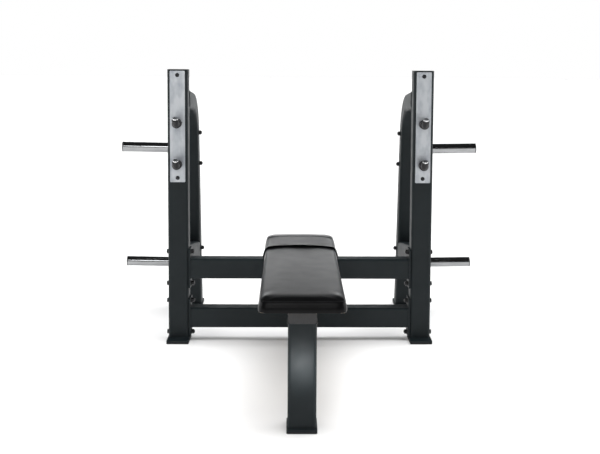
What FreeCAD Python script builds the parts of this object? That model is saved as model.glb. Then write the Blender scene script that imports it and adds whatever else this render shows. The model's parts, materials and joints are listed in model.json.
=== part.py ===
"""Olympic bench press: a flat bench welded to a spine, between two arched side frames.

Millimetres. The floor is Z = 0, the lifter's head points to +Y and the bench is symmetric about X = 0.
Every size is a cell of the sheet Sizes, and every feature is bound to those cells by expressions.
"""
import FreeCAD, Part
import math
import os
import re

import Sketcher

os.makedirs("parts", exist_ok=True)
doc = FreeCAD.newDocument("olympic_bench_press")
Vector = FreeCAD.Vector

# ---------------------------------------------------------------- driving sizes

SIZES = {
    # side frames: one tube section for uprights, rear arches and braces
    "upright_spacing": 1082,
    "upright_top": 1209,
    "upright_front": 185,
    "tube_wide": 90,
    "tube_deep": 80,
    "tube_wall": 3,
    "tube_corner": 12,
    "arm_level": 1081.5,
    "arm_slope": 6,
    "arch_reach": 374,
    "arch_bend": 205,
    "leg_lean": 9.5,
    "brace_level": 377,
    "brace_slope": 9,
    "cap_thick": 3,
    "cap_plug": 15,
    "fit_gap": 0.3,
    # feet
    "foot_plate_thick": 8,
    "foot_pad_thick": 6,
    "foot_wide": 98,
    "foot_corner": 6,
    "upright_toe": 50,
    "rear_foot_deep": 130,
    "rear_foot_heel": 72.9,
    # crossbars, bolted between the uprights through end flanges
    "crossbar_tall": 90,
    "crossbar_deep": 76,
    "crossbar_wall": 3,
    "crossbar_corner": 10,
    "upper_crossbar_level": 326,
    "lower_crossbar_level": 104,
    "flange_thick": 8,
    "flange_tall": 176,
    "flange_bolt_reach": 72,
    # guard plates and bar catches on the uprights' front faces
    "guard_wide": 66,
    "guard_tall": 490,
    "guard_thick": 4,
    "guard_corner": 4,
    "guard_top": 1206,
    "guard_screw_inset": 19,
    "upper_catch_level": 976,
    "lower_catch_level": 794,
    "catch_rod": 24,
    "catch_stud": 16,
    "catch_straight": 46,
    "catch_bend": 24,
    "catch_turn": 62,
    "catch_tip": 18,
    "catch_edge": 4,
    "sleeve_across": 40,
    "sleeve_long": 42,
    "boot_across": 31,
    "boot_bare_tip": 8,
    # plate storage horns on the rear legs
    "upper_horn_level": 821,
    "lower_horn_level": 229,
    "horn_across": 48.3,
    "horn_wall": 3.5,
    "horn_long": 273,
    "horn_tilt": 1,
    "horn_plate_thick": 8,
    "horn_plate_wide": 70,
    "horn_plate_tall": 184,
    "horn_bolt_reach": 78,
    "horn_cap_thick": 4,
    "horn_collar_across": 62,
    "horn_collar_long": 6,
    # front leg and spine beam
    "spine_wide": 98,
    "spine_tall": 40,
    "spine_front": -845,
    "spine_back": 266,
    "front_leg_deep": 80,
    "front_foot_wide": 105,
    "front_foot_deep": 110,
    "front_foot_toe": 10,
    "saddle_thick": 5,
    "saddle_wide": 180,
    "saddle_bolt_reach": 74,
    "saddle_bolt_inset": 17,
    # pad: plywood board in an upholstered cushion, on three brackets
    "bracket_thick": 5,
    "bracket_wide": 250,
    "bracket_deep": 50,
    "bracket_front_inset": 160,
    "bracket_back_inset": 167,
    "bracket_bolt_reach": 100,
    "pad_front": -884,
    "pad_long": 1167,
    "pad_wide": 308,
    "pad_thick": 47,
    "pad_corner": 28,
    "board_thick": 15,
    "board_margin": 8,
    # slip-on head cover
    "cover_long": 305,
    "cover_thick": 2.5,
    "cover_gap": 0.5,
    "cover_lip": 26,
    # fasteners
    "hole_gap": 0.5,
    "frame_bolt": 12,
    "frame_bolt_flats": 18,
    "frame_bolt_head": 7.5,
    "frame_bolt_nut": 10,
    "frame_washer_across": 24,
    "frame_washer_thick": 2.5,
    "thread_end": 3,
    "hex_corner_slope": 30,
    "stud_nut_flats": 24,
    "stud_nut_tall": 14,
    "saddle_bolt": 10,
    "saddle_bolt_flats": 16,
    "saddle_bolt_head": 6.5,
    "saddle_bolt_nut": 8,
    "guard_screw": 8,
    "guard_screw_long": 16,
    "guard_screw_head_across": 18,
    "guard_screw_head_tall": 4.5,
    "pad_bolt": 8,
    "pad_bolt_flats": 13,
    "pad_bolt_head": 5.5,
    "tee_nut_across": 10,
    "tee_nut_flange": 20,
    "tee_nut_flange_thick": 1.6,
}

sheet = doc.addObject("Spreadsheet::Sheet", "Sizes")
for row, (alias, amount) in enumerate(SIZES.items(), start=1):
    sheet.set("A%d" % row, alias)
    sheet.set("B%d" % row, str(amount))
    sheet.setAlias("B%d" % row, alias)
doc.recompute()

ALIAS = re.compile(r"\b(%s)\b" % "|".join(SIZES))
gauge = doc.addObject("App::FeaturePython", "Gauge")
gauge.addProperty("App::PropertyFloat", "Reading")


def linked(text):
    """The expression with each alias written as a reference to the sheet."""
    return ALIAS.sub(r"Sizes.\1", text)


def bind(obj, prop, text):
    obj.setExpression(prop, linked(text))


def number(text):
    """The present value of an expression, for a sketch's first, unsolved shape."""
    bind(gauge, "Reading", text)
    gauge.recompute()
    return gauge.Reading


# ---------------------------------------------------------------- places that pieces share

FOOT_LEVEL = "(foot_plate_thick + foot_pad_thick)"
UPRIGHT_BACK = "(upright_front + tube_deep)"
UPRIGHT_MIDDLE = "(upright_front + tube_deep / 2)"
CORNER_Y = "(%s + arch_reach)" % UPRIGHT_BACK
CORNER_Z = "(arm_level - arch_reach * tan(arm_slope))"
REAR_LEG_Y = "(%s + (%s - %s) * tan(leg_lean))" % (CORNER_Y, CORNER_Z, FOOT_LEVEL)
CROSSBAR_LONG = "(upright_spacing - tube_wide - 2 * flange_thick)"
CROSSBAR_TOP = "(upper_crossbar_level + crossbar_tall / 2)"
SPINE_BOTTOM = "(%s + saddle_thick)" % CROSSBAR_TOP
SPINE_TOP = "(%s + spine_tall)" % SPINE_BOTTOM
PAD_BOTTOM = "(%s + bracket_thick)" % SPINE_TOP
PAD_BACK = "(pad_front + pad_long)"
PAD_MIDDLE = "(pad_front + pad_long / 2)"
FRAME_HOLE = "frame_bolt + 2 * hole_gap"
SIDES = (("left", -1), ("right", 1))
BRACKET_PITCH = "(pad_long - bracket_front_inset - bracket_back_inset) / 2"
BRACKETS = ["(pad_front + bracket_front_inset + %d * %s)" % (count, BRACKET_PITCH) for count in range(3)]

TURNS = {
    "z": FreeCAD.Rotation(),
    "-z": FreeCAD.Rotation(Vector(1, 0, 0), 180),
    "x": FreeCAD.Rotation(Vector(0, 1, 0), 90),
    "-x": FreeCAD.Rotation(Vector(0, 1, 0), -90),
    "y": FreeCAD.Rotation(Vector(1, 0, 0), -90),
    "-y": FreeCAD.Rotation(Vector(1, 0, 0), 90),
}


def face_x(sign, beyond="0"):
    """X at a distance beyond an upright's outer face, on the side given by sign."""
    return "%d * (upright_spacing / 2 + tube_wide / 2 + (%s))" % (sign, beyond)


def inner_x(sign, beyond="0"):
    """X at a distance inward of an upright's inner face."""
    return "%d * (upright_spacing / 2 - tube_wide / 2 - (%s))" % (sign, beyond)


def middle_x(sign):
    return "%d * upright_spacing / 2" % sign


def up_leg(level):
    """Distance along the rear leg from its foot to a height above the floor."""
    return "((%s - %s) / cos(leg_lean))" % (level, FOOT_LEVEL)


# ---------------------------------------------------------------- helpers

def place(obj, spot, turn="z"):
    """Turn an object's own Z to the axis named and put its origin at the expressions in spot."""
    obj.Placement = FreeCAD.Placement(Vector(), TURNS[turn])
    for axis, text in zip("xyz", spot):
        bind(obj, "Placement.Base." + axis, text)
    return obj


def on_rear_leg(obj):
    """Put an object drawn in the rear leg's own frame, Z up along the leaning leg, where the leg stands."""
    obj.Placement = FreeCAD.Placement(Vector(), FreeCAD.Rotation(Vector(1, 0, 0), 5))
    bind(obj, "Placement.Rotation.Angle", "leg_lean")
    bind(obj, "Placement.Base.y", REAR_LEG_Y)
    bind(obj, "Placement.Base.z", FOOT_LEVEL)
    return obj


def block(name, sides, corner):
    box = doc.addObject("Part::Box", name)
    for prop, text in zip(("Length", "Width", "Height"), sides):
        bind(box, prop, text)
    return place(box, corner)


def rod(name, across, long, spot=("0", "0", "0"), turn="z"):
    cylinder = doc.addObject("Part::Cylinder", name)
    bind(cylinder, "Radius", "(%s) / 2" % across)
    bind(cylinder, "Height", long)
    return place(cylinder, spot, turn)


def hexagon(name, flats, tall, spot=("0", "0", "0")):
    prism = doc.addObject("Part::Prism", name)
    prism.Polygon = 6
    bind(prism, "Circumradius", "(%s) / sqrt(3)" % flats)
    bind(prism, "Height", tall)
    return place(prism, spot)


def hex_head(name, flats, tall):
    """A hexagon that stands on Z = 0, its far corners turned down to the width across its flats."""
    spread = "(%s) / 2 + (%s) / tan(hex_corner_slope)" % (flats, tall)
    turned = doc.addObject("Part::Cone", name + "_turned")
    bind(turned, "Radius1", spread)
    bind(turned, "Radius2", "(%s) / 2" % flats)
    bind(turned, "Height", tall)
    return boolean("Common", name, hexagon(name + "_flats", flats, tall), turned)


def boolean(kind, name, base, tool):
    result = doc.addObject("Part::" + kind, name)
    result.Base = base
    result.Tool = tool
    return result


def group(name, members):
    compound = doc.addObject("Part::Compound", name)
    compound.Links = members
    return compound


def drilled(name, base, holes):
    """Base with holes cut through it."""
    return boolean("Cut", name, base, group(name + "_drills", holes))


def origin_plane(body, role):
    return next(item for item in body.Origin.OriginFeatures if item.Role == role)


def sketch_on(body, role, name):
    sketch = body.newObject("Sketcher::SketchObject", name)
    sketch.AttachmentSupport = [(origin_plane(body, role), "")]
    sketch.MapMode = "FlatFace"
    return sketch


def constrain(sketch, rule, label=None, text=None):
    """Add a constraint, and when it has a label bind it to the expression given."""
    index = sketch.addConstraint(rule)
    if label:
        sketch.renameConstraint(index, label)
        bind(sketch, "Constraints." + label, text)


def rounded_rectangle(sketch, wide, deep, corner, tag=""):
    """Draw a rectangle with round corners centred on the sketch's origin."""
    half_w = number(wide) / 2
    half_d = number(deep) / 2
    radius = number(corner)
    lines = []
    arcs = []
    for quarter in range(4):
        spin = FreeCAD.Rotation(Vector(0, 0, 1), 90 * quarter)
        along = (half_w if quarter % 2 == 0 else half_d) - radius
        away = half_d if quarter % 2 == 0 else half_w
        start = spin.multVec(Vector(-along, -away, 0))
        end = spin.multVec(Vector(along, -away, 0))
        centre = spin.multVec(Vector(along, radius - away, 0))
        lines.append(sketch.addGeometry(Part.LineSegment(start, end), False))
        circle = Part.Circle(centre, Vector(0, 0, 1), radius)
        begin = math.radians(90 * quarter - 90)
        arcs.append(sketch.addGeometry(Part.ArcOfCircle(circle, begin, begin + math.pi / 2), False))
    for quarter in range(4):
        following = lines[(quarter + 1) % 4]
        constrain(sketch, Sketcher.Constraint("Tangent", lines[quarter], 2, arcs[quarter], 1))
        constrain(sketch, Sketcher.Constraint("Tangent", arcs[quarter], 2, following, 1))
        straight = "Horizontal" if quarter % 2 == 0 else "Vertical"
        constrain(sketch, Sketcher.Constraint(straight, lines[quarter]))
    for arc in arcs[1:]:
        constrain(sketch, Sketcher.Constraint("Equal", arcs[0], arc))
    half_wide = "(%s) / 2" % wide
    half_deep = "(%s) / 2" % deep
    bottom, right, top, left = lines
    constrain(sketch, Sketcher.Constraint("Radius", arcs[0], radius), tag + "Corner", corner)
    constrain(sketch, Sketcher.Constraint("DistanceY", bottom, 1, -1, 1, half_d), tag + "Bottom", half_deep)
    constrain(sketch, Sketcher.Constraint("DistanceY", -1, 1, top, 1, half_d), tag + "Top", half_deep)
    constrain(sketch, Sketcher.Constraint("DistanceX", left, 1, -1, 1, half_w), tag + "Left", half_wide)
    constrain(sketch, Sketcher.Constraint("DistanceX", -1, 1, right, 1, half_w), tag + "Right", half_wide)


def tube_section(sketch, wide, deep, wall, corner):
    rounded_rectangle(sketch, wide, deep, corner, "Outer")
    rounded_rectangle(sketch, "%s - 2 * %s" % (wide, wall), "%s - 2 * %s" % (deep, wall),
                      "%s - %s" % (corner, wall), "Inner")


def tube(name, wide, deep, wall, corner, long, spot, turn="z"):
    """A straight rectangular tube along its own Z."""
    body = doc.addObject("PartDesign::Body", name)
    section = sketch_on(body, "XY_Plane", name + "_section")
    tube_section(section, wide, deep, wall, corner)
    pad = body.newObject("PartDesign::Pad", name + "_run")
    pad.Profile = section
    bind(pad, "Length", long)
    return place(body, spot, turn)


def plate(name, wide, deep, thick, corner, spot, turn="z"):
    """A flat plate with round corners, its thickness along its own Z."""
    body = doc.addObject("PartDesign::Body", name)
    outline = sketch_on(body, "XY_Plane", name + "_outline")
    rounded_rectangle(outline, wide, deep, corner)
    pad = body.newObject("PartDesign::Pad", name + "_gauge")
    pad.Profile = outline
    bind(pad, "Length", thick)
    return place(body, spot, turn)


def hex_bolt(name, across, long, flats, head, spot, turn):
    """A bolt with its head's underside at spot and its shank along the axis named."""
    shank = rod(name + "_shank", across, long)
    head = place(hex_head(name + "_head", flats, head), ("0", "0", "0"), "-z")
    return place(boolean("Fuse", name, shank, head), spot, turn)


def ring(name, outer, inner, tall, spot, turn):
    """A washer, bush or sleeve that stands on spot along the axis named."""
    return place(boolean("Cut", name, rod(name + "_rim", outer, tall), rod(name + "_eye", inner, tall)),
                 spot, turn)


def hex_nut(name, across, flats, tall, spot, turn):
    """A nut that stands on spot along the axis named, bored to the bolt's own size."""
    return place(boolean("Cut", name, hex_head(name + "_hex", flats, tall), rod(name + "_eye", across, tall)),
                 spot, turn)


def tube_cap(name, wide, deep, wall, corner, spot, turn):
    """A moulded cap: a lid over the tube's end and a plug inside it."""
    lid = plate(name + "_lid", wide, deep, "cap_thick", corner, ("0", "0", "0"))
    inside = "2 * (%s + fit_gap)" % wall
    plug = plate(name + "_plug", "%s - %s" % (wide, inside), "%s - %s" % (deep, inside),
                 "cap_plug", "%s - %s" % (corner, wall), ("0", "0", "-cap_plug"))
    return place(boolean("Fuse", name, lid, plug), spot, turn)


NODES = []


def node(obj, label):
    """Register a finished sub-part under the name of its file."""
    obj.Label = label
    NODES.append(obj)
    return obj


# ---------------------------------------------------------------- side frames

def make_upright(side, sign):
    """Vertical tube, drilled for the crossbar bolts, the catch studs and the guard screws."""
    name = side + "_upright"
    body = tube(name + "_tube", "tube_wide", "tube_deep", "tube_wall", "tube_corner",
                "upright_top - %s" % FOOT_LEVEL, (middle_x(sign), UPRIGHT_MIDDLE, FOOT_LEVEL))
    holes = []
    for bar in ("upper", "lower"):
        for end, reach in (("a", "+ flange_bolt_reach"), ("b", "- flange_bolt_reach")):
            level = "%s_crossbar_level %s" % (bar, reach)
            holes.append(rod("%s_%s_hole_%s" % (name, bar, end), FRAME_HOLE, "tube_wide + 2",
                             ("%s - tube_wide / 2 - 1" % middle_x(sign), UPRIGHT_MIDDLE, level), "x"))
        holes.append(rod("%s_%s_stud_hole" % (name, bar), "catch_stud + 2 * hole_gap", "tube_deep + 2",
                         (middle_x(sign), "upright_front - 1", bar + "_catch_level"), "y"))
    for end, level in guard_screw_levels():
        holes.append(rod("%s_screw_hole_%s" % (name, end), "guard_screw", "guard_screw_long + 2",
                         (middle_x(sign), "upright_front - 2", level), "y"))
    node(drilled(name, body, holes), name)


def guard_screw_levels():
    top = "guard_top - guard_screw_inset"
    bottom = "guard_top - guard_tall + guard_screw_inset"
    return (("top", top), ("bottom", bottom))


def make_top_cap(side, sign):
    name = side + "_top_cap"
    cap = tube_cap(name, "tube_wide", "tube_deep", "tube_wall", "tube_corner",
                   (middle_x(sign), UPRIGHT_MIDDLE, "upright_top"), "z")
    node(cap, name)


def arch_path(body, name):
    """Centre line in the rear leg's frame: up the leg, round the bend and down the arm to the upright."""
    turn = "(90 - arm_slope - leg_lean)"
    centre_z = "(%s - arch_bend * tan(%s / 2))" % (up_leg(CORNER_Z), turn)
    spare = "tube_deep * tan(leg_lean)"
    arm = "arch_reach / cos(arm_slope) - arch_bend * tan(%s / 2) + tube_deep * tan(arm_slope)" % turn
    radius = number("arch_bend")
    rise = number(centre_z)
    sweep = math.radians(number(turn))
    arm_long = number(arm)
    path = sketch_on(body, "YZ_Plane", name + "_path")
    top = Vector(0, rise, 0)
    centre = Vector(-radius, rise, 0)
    bend_end = centre + Vector(math.cos(sweep), math.sin(sweep), 0) * radius
    arm_end = bend_end + Vector(-math.sin(sweep), math.cos(sweep), 0) * arm_long
    leg = path.addGeometry(Part.LineSegment(Vector(0, -number(spare), 0), top), False)
    circle = Part.Circle(centre, Vector(0, 0, 1), radius)
    bend = path.addGeometry(Part.ArcOfCircle(circle, 0, sweep), False)
    run = path.addGeometry(Part.LineSegment(bend_end, arm_end), False)
    constrain(path, Sketcher.Constraint("PointOnObject", leg, 1, -2))
    constrain(path, Sketcher.Constraint("Vertical", leg))
    constrain(path, Sketcher.Constraint("Tangent", leg, 2, bend, 1))
    constrain(path, Sketcher.Constraint("Tangent", bend, 2, run, 1))
    constrain(path, Sketcher.Constraint("DistanceY", leg, 1, -1, 1, number(spare)), "Spare", spare)
    constrain(path, Sketcher.Constraint("DistanceY", -1, 1, bend, 3, rise), "Rise", centre_z)
    constrain(path, Sketcher.Constraint("Radius", bend, radius), "Bend", "arch_bend")
    constrain(path, Sketcher.Constraint("Distance", run, arm_long), "Arm", arm)
    constrain(path, Sketcher.Constraint("Angle", run, math.radians(number("180 - arm_slope - leg_lean"))),
              "Heading", "180 - arm_slope - leg_lean")
    return path


def make_rear_arch(side, sign):
    """Bent tube: an arm back from the upright, a bend, and a leg that leans to the floor."""
    name = side + "_rear_arch"
    body = doc.addObject("PartDesign::Body", name + "_tube")
    section = sketch_on(body, "XY_Plane", name + "_section")
    tube_section(section, "tube_wide", "tube_deep", "tube_wall", "tube_corner")
    bind(section, "AttachmentOffset.Base.z", "-tube_deep * tan(leg_lean)")
    path = arch_path(body, name)
    pipe = body.newObject("PartDesign::AdditivePipe", name + "_run")
    pipe.Profile = section
    pipe.Spine = path
    place(body, (middle_x(sign), "0", "0"))
    holes = []
    for bar in ("upper", "lower"):
        for end, reach in (("a", "+ horn_bolt_reach"), ("b", "- horn_bolt_reach")):
            spot = ("%s - tube_wide / 2 - 1" % middle_x(sign), "0",
                    "%s %s" % (up_leg(bar + "_horn_level"), reach))
            holes.append(rod("%s_%s_hole_%s" % (name, bar, end), FRAME_HOLE, "tube_wide + 2", spot, "x"))
    bent = on_rear_leg(drilled(name + "_bent", body, holes))
    keep = block(name + "_keep",
                 ("tube_wide + 2", "2 * (%s - %s)" % (REAR_LEG_Y, UPRIGHT_BACK), "upright_top"),
                 ("%s - tube_wide / 2 - 1" % middle_x(sign), UPRIGHT_BACK, FOOT_LEVEL))
    node(boolean("Common", name, bent, keep), name)


def make_side_brace(side, sign):
    """Lower tie from the upright to the rear leg, cut to meet both."""
    name = side + "_side_brace"
    reach = "(arch_reach + (%s - brace_level) * tan(leg_lean))" % CORNER_Z
    body = tube(name + "_tube", "tube_wide", "tube_deep", "tube_wall", "tube_corner",
                "%s / cos(brace_slope) + tube_deep * tan(brace_slope)" % reach,
                (middle_x(sign), "%s + %s" % (UPRIGHT_BACK, reach),
                 "brace_level - %s * tan(brace_slope)" % reach))
    body.Placement = FreeCAD.Placement(Vector(), FreeCAD.Rotation(Vector(1, 0, 0), 80))
    bind(body, "Placement.Rotation.Angle", "90 - brace_slope")
    behind = block(name + "_behind", ("tube_wide + 2", "2 * arch_reach", "upright_top"),
                   ("%s - tube_wide / 2 - 1" % middle_x(sign), "-tube_deep / 2", "0"))
    leg_zone = on_rear_leg(group(name + "_leg_zone", [behind]))
    fitted = boolean("Cut", name + "_fitted", body, leg_zone)
    keep = block(name + "_keep", ("tube_wide + 2", "2 * arch_reach", "upright_top"),
                 ("%s - tube_wide / 2 - 1" % middle_x(sign), UPRIGHT_BACK, "0"))
    node(boolean("Common", name, fitted, keep), name)


def make_side_feet(side, sign):
    """Steel foot plates with rubber pads under the upright and the rear leg."""
    feet = (("upright", "(upright_toe + tube_deep)", "(upright_front - upright_toe)"),
            ("rear", "rear_foot_deep", "(%s + rear_foot_heel - rear_foot_deep)" % REAR_LEG_Y))
    for which, deep, front in feet:
        middle = "%s + %s / 2" % (front, deep)
        steel = "%s_%s_foot_plate" % (side, which)
        rubber = "%s_%s_foot_pad" % (side, which)
        node(plate(steel + "_body", "foot_wide", deep, "foot_plate_thick", "foot_corner",
                   (middle_x(sign), middle, "foot_pad_thick")), steel)
        node(plate(rubber + "_body", "foot_wide", deep, "foot_pad_thick", "foot_corner",
                   (middle_x(sign), middle, "0")), rubber)


# ---------------------------------------------------------------- crossbars

def make_crossbar(bar):
    name = bar + "_crossbar"
    body = tube(name + "_tube", "crossbar_tall", "crossbar_deep", "crossbar_wall", "crossbar_corner",
                CROSSBAR_LONG, ("-%s / 2" % CROSSBAR_LONG, UPRIGHT_MIDDLE, bar + "_crossbar_level"), "x")
    if bar == "lower":
        node(body, name)
        return
    holes = [rod("%s_hole_%d" % (name, count), "saddle_bolt + 2 * hole_gap", "crossbar_tall + 2",
                 (x, y, "upper_crossbar_level - crossbar_tall / 2 - 1"))
             for count, (x, y) in enumerate(saddle_bolt_spots())]
    node(drilled(name, body, holes), name)


def make_crossbar_flanges():
    """End plates welded to the crossbars and bolted to the uprights' inner faces."""
    for bar in ("upper", "lower"):
        for side, sign in SIDES:
            name = "%s_%s_flange" % (side, bar)
            level = bar + "_crossbar_level"
            near = "%s - flange_thick / 2" % inner_x(sign, "flange_thick / 2")
            body = plate(name + "_plate", "flange_tall", "crossbar_deep", "flange_thick", "foot_corner",
                         (near, UPRIGHT_MIDDLE, level), "x")
            holes = [rod("%s_hole_%s" % (name, end), FRAME_HOLE, "flange_thick + 2",
                         ("%s - 1" % near, UPRIGHT_MIDDLE, "%s %s flange_bolt_reach" % (level, step)), "x")
                     for end, step in (("top", "+"), ("bottom", "-"))]
            node(drilled(name, body, holes), name)


def make_crossbar_fasteners():
    """Bolts through uprights and flanges: heads outside, nuts inside, a washer under each."""
    bolts = []
    washers = []
    nuts = []
    long = "tube_wide + flange_thick + 2 * frame_washer_thick + frame_bolt_nut + thread_end"
    for bar in ("upper", "lower"):
        for side, sign in SIDES:
            inward = "-x" if sign > 0 else "x"
            for end, step in (("top", "+"), ("bottom", "-")):
                name = "%s_%s_%s" % (side, bar, end)
                level = "%s_crossbar_level %s flange_bolt_reach" % (bar, step)
                bolts.append(hex_bolt(name + "_bolt", "frame_bolt", long, "frame_bolt_flats", "frame_bolt_head",
                                      (face_x(sign, "frame_washer_thick"), UPRIGHT_MIDDLE, level), inward))
                for where, x in (("outer", face_x(sign, "frame_washer_thick")),
                                 ("inner", inner_x(sign, "flange_thick"))):
                    washers.append(ring("%s_%s_washer" % (name, where), "frame_washer_across", "frame_bolt",
                                        "frame_washer_thick", (x, UPRIGHT_MIDDLE, level), inward))
                nuts.append(hex_nut(name + "_nut", "frame_bolt", "frame_bolt_flats", "frame_bolt_nut",
                                    (inner_x(sign, "flange_thick + frame_washer_thick"), UPRIGHT_MIDDLE, level),
                                    inward))
    node(group("crossbar_bolts_group", bolts), "crossbar_bolts")
    node(group("crossbar_washers_group", washers), "crossbar_bolt_washers")
    node(group("crossbar_nuts_group", nuts), "crossbar_bolt_nuts")


# ---------------------------------------------------------------- guard plates and bar catches

def make_guard_plate(side, sign):
    name = side + "_guard_plate"
    body = plate(name + "_sheet", "guard_wide", "guard_tall", "guard_thick", "guard_corner",
                 (middle_x(sign), "upright_front - guard_thick", "guard_top - guard_tall / 2"), "y")
    front = "upright_front - guard_thick - 1"
    holes = [rod("%s_screw_hole_%s" % (name, end), "guard_screw + 2 * hole_gap", "guard_thick + 2",
                 (middle_x(sign), front, level), "y") for end, level in guard_screw_levels()]
    holes += [rod("%s_%s_stud_hole" % (name, catch), "catch_stud + 2 * hole_gap", "guard_thick + 2",
                  (middle_x(sign), front, catch + "_catch_level"), "y") for catch in ("upper", "lower")]
    node(drilled(name, body, holes), name)


def make_guard_screws():
    """Button-head screws into the uprights' front walls."""
    screws = []
    for side, sign in SIDES:
        for end, level in guard_screw_levels():
            name = "%s_%s_guard_screw" % (side, end)
            shank = rod(name + "_shank", "guard_screw", "guard_screw_long")
            rim = rod(name + "_rim", "guard_screw_head_across", "guard_screw_head_tall / 3",
                      ("0", "0", "-guard_screw_head_tall / 3"))
            dome = doc.addObject("Part::Cone", name + "_dome")
            bind(dome, "Radius1", "guard_screw_head_across / 3")
            bind(dome, "Radius2", "guard_screw_head_across / 2")
            bind(dome, "Height", "guard_screw_head_tall * 2 / 3")
            place(dome, ("0", "0", "-guard_screw_head_tall"))
            head = boolean("Fuse", name + "_head", rim, dome)
            socket = hexagon(name + "_socket", "guard_screw * 5 / 8", "guard_screw_head_tall * 2 / 3",
                             ("0", "0", "-guard_screw_head_tall"))
            screw = boolean("Cut", name, boolean("Fuse", name + "_blank", head, shank), socket)
            screws.append(place(screw, (middle_x(sign), "upright_front - guard_thick", level), "y"))
    node(group("guard_screws_group", screws), "guard_plate_screws")


def round_section(body, name, across):
    """A circle on the body's origin."""
    section = sketch_on(body, "XY_Plane", name)
    radius = number("(%s) / 2" % across)
    circle = section.addGeometry(Part.Circle(Vector(0, 0, 0), Vector(0, 0, 1), radius), False)
    constrain(section, Sketcher.Constraint("Coincident", circle, 3, -1, 1))
    constrain(section, Sketcher.Constraint("Diameter", circle, 2 * radius), "Across", across)
    return section


def hooked_rod(name, across, tip):
    """Round rod along the catch's centre line, with a tip of the length given past the bend."""
    body = doc.addObject("PartDesign::Body", name)
    section = round_section(body, name + "_section", across)
    pipe = body.newObject("PartDesign::AdditivePipe", name + "_run")
    pipe.Profile = section
    pipe.Spine = catch_path(body, name, tip)
    return body


def make_bar_catch(side, sign, which):
    """Round peg that turns up at its tip, in one piece with the stud that clamps it to the upright."""
    name = "%s_%s_bar_catch" % (side, which)
    body = hooked_rod(name + "_peg", "catch_rod", "catch_tip")
    stud_end = round_section(body, name + "_stud_end", "catch_stud")
    stud = body.newObject("PartDesign::Pad", name + "_stud")
    stud.Profile = stud_end
    stud.Reversed = True
    bind(stud, "Length", "guard_thick + tube_deep + stud_nut_tall + thread_end")
    doc.recompute()
    rounding = body.newObject("PartDesign::Fillet", name + "_rounding")
    rounding.Base = (stud, [tip_edge(stud.Shape)])
    bind(rounding, "Radius", "catch_edge")
    place(body, (middle_x(sign), "upright_front - guard_thick", which + "_catch_level"), "-y")
    node(body, name)


def catch_path(body, name, tip_text):
    """Centre line of the peg: straight out of the guard plate, then a bend upward to a short tip."""
    straight = number("catch_straight")
    radius = number("catch_bend")
    sweep = math.radians(number("catch_turn"))
    tip_long = number(tip_text)
    path = sketch_on(body, "YZ_Plane", name + "_path")
    knee = Vector(0, straight, 0)
    centre = Vector(radius, straight, 0)
    bend_end = centre + Vector(-math.cos(sweep), math.sin(sweep), 0) * radius
    tip_end = bend_end + Vector(math.sin(sweep), math.cos(sweep), 0) * tip_long
    run = path.addGeometry(Part.LineSegment(Vector(0, 0, 0), knee), False)
    circle = Part.Circle(centre, Vector(0, 0, 1), radius)
    bend = path.addGeometry(Part.ArcOfCircle(circle, math.pi - sweep, math.pi), False)
    tip = path.addGeometry(Part.LineSegment(bend_end, tip_end), False)
    constrain(path, Sketcher.Constraint("Coincident", run, 1, -1, 1))
    constrain(path, Sketcher.Constraint("Vertical", run))
    constrain(path, Sketcher.Constraint("Tangent", run, 2, bend, 2))
    constrain(path, Sketcher.Constraint("Tangent", bend, 1, tip, 1))
    constrain(path, Sketcher.Constraint("Distance", run, straight), "Straight", "catch_straight")
    constrain(path, Sketcher.Constraint("Radius", bend, radius), "Bend", "catch_bend")
    constrain(path, Sketcher.Constraint("Distance", tip, tip_long), "Tip", tip_text)
    constrain(path, Sketcher.Constraint("Angle", tip, math.pi / 2 - sweep), "Heading", "90 - catch_turn")
    return path


def tip_edge(shape):
    """Name of the round edge that lies farthest out along the peg."""
    rounds = [(edge.CenterOfMass.z + edge.CenterOfMass.y, index)
              for index, edge in enumerate(shape.Edges, start=1) if edge.isClosed()]
    return "Edge%d" % max(rounds)[1]


def catch_sleeve(name, spot):
    """Rubber moulding on a peg: a thick sleeve under the bar and a thinner boot round the bend."""
    outside = boolean("Fuse", name + "_outside", rod(name + "_drum", "sleeve_across", "sleeve_long"),
                      hooked_rod(name + "_boot", "boot_across", "catch_tip - boot_bare_tip"))
    bore = hooked_rod(name + "_bore", "catch_rod + 2 * fit_gap", "catch_tip + boot_bare_tip")
    return place(boolean("Cut", name, outside, bore), spot, "-y")


def make_catch_fittings():
    """Rubber sleeves on the pegs and nuts on their studs behind the uprights."""
    sleeves = []
    nuts = []
    for side, sign in SIDES:
        for which in ("upper", "lower"):
            level = which + "_catch_level"
            name = "%s_%s" % (side, which)
            sleeves.append(catch_sleeve(name + "_sleeve",
                                        (middle_x(sign), "upright_front - guard_thick", level)))
            nuts.append(hex_nut(name + "_stud_nut", "catch_stud", "stud_nut_flats", "stud_nut_tall",
                                (middle_x(sign), UPRIGHT_BACK, level), "y"))
    node(group("catch_sleeves_group", sleeves), "bar_catch_sleeves")
    node(group("catch_nuts_group", nuts), "bar_catch_nuts")


# ---------------------------------------------------------------- plate storage horns

def make_horn_plate(side, sign, which):
    name = "%s_%s_horn_plate" % (side, which)
    near = "%s - horn_plate_thick / 2" % face_x(sign, "horn_plate_thick / 2")
    middle = up_leg(which + "_horn_level")
    body = plate(name + "_plate", "horn_plate_tall", "horn_plate_wide", "horn_plate_thick", "foot_corner",
                 (near, "0", middle), "x")
    holes = [rod("%s_hole_%s" % (name, end), FRAME_HOLE, "horn_plate_thick + 2",
                 ("%s - 1" % near, "0", "%s %s horn_bolt_reach" % (middle, step)), "x")
             for end, step in (("top", "+"), ("bottom", "-"))]
    node(on_rear_leg(drilled(name, body, holes)), name)


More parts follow.
